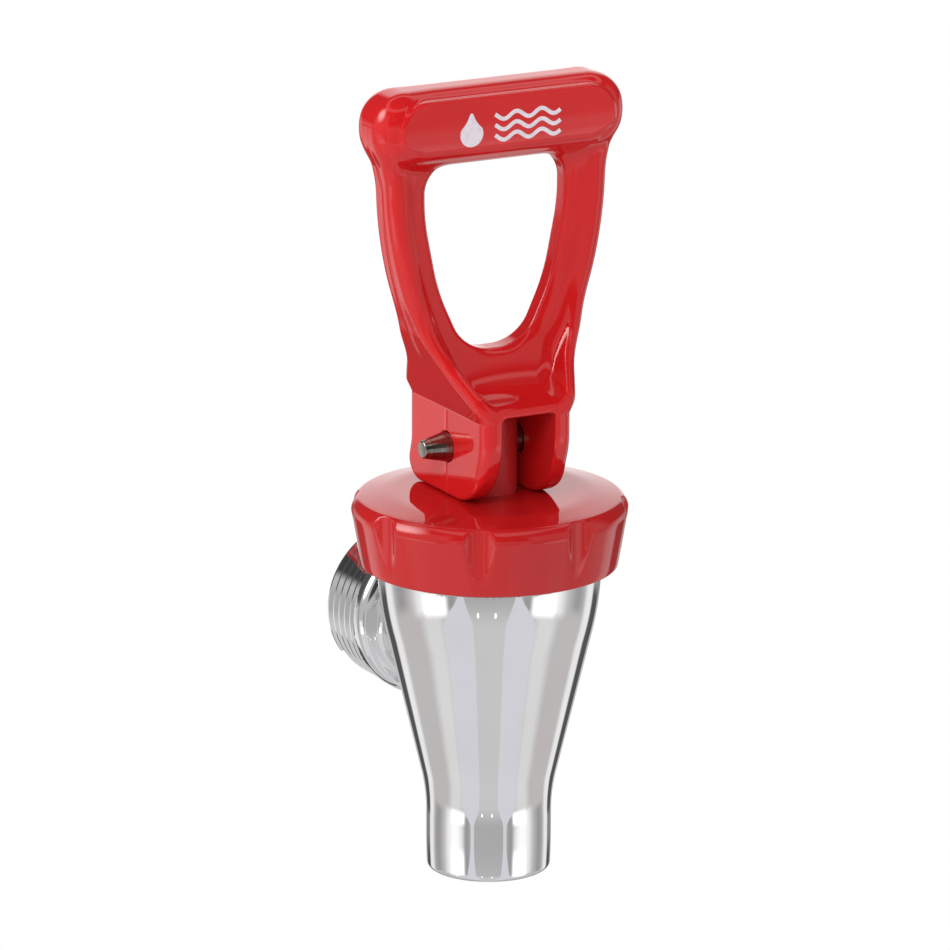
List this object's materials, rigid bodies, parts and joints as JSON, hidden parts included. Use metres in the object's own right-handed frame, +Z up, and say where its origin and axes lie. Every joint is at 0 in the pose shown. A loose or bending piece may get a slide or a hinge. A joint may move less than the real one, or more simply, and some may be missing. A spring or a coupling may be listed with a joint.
{
  "type": "beverage dispenser spigot",
  "caption": "Self-closing beverage spigot: chromed tapered body with a threaded side shank, a screw-on grip cap and a pull-forward loop lever over a sprung seat cup.",
  "frame": {"origin": "centre of the shank's axis, in the middle of its thread", "axes": "+Y along the shank into the vessel, +Z up along the spout and the lever, -Y the front that faces the user"},
  "size_m": [0.0426, 0.0511, 0.1245],
  "materials": {
    "chrome_plate": "bright chrome plate on brass",
    "red_gloss": "glossy moulded red plastic",
    "red_satin": "satin moulded red plastic",
    "clear_rubber": "milky silicone rubber",
    "steel_wire": "plain stainless steel",
    "white_nylon": "white nylon"
  },
  "bodies": {
    "tap": {"faucet_body": "chrome_plate", "bonnet": "red_gloss", "friction_ring": "white_nylon", "seat_cup": "clear_rubber", "spring": "steel_wire"},
    "lift": {"spring_washer": "white_nylon"},
    "stem": {"stem": "red_satin"},
    "lever": {"handle": "red_gloss", "handle_pin": "steel_wire"}
  },
  "joints": [
    {"name": "stem_lift", "type": "slide", "parent": "tap", "child": "lift", "axis": [0, 0, 1], "range_m": [0, 0.00502], "stiffness_N_per_m": 2, "springref_m": 0.098, "deforming": ["spring", "seat_cup"]},
    {"name": "handle_swivel", "type": "hinge", "parent": "lift", "child": "stem", "pos_m": [0, -0.025, 0.0325], "axis": [0, 0, 1], "continuous": true},
    {"name": "handle_tilt", "type": "hinge", "parent": "stem", "child": "lever", "pos_m": [0, -0.025, 0.0325], "axis": [1, 0, 0], "range_deg": [0, 90], "stiffness_Nm_per_rad": 0.02, "springref_deg": -108.86}
  ],
  "couplings": [
    {"joint": "stem_lift", "follows": "handle_tilt", "m_per_rad": 0.0031831}
  ]
}
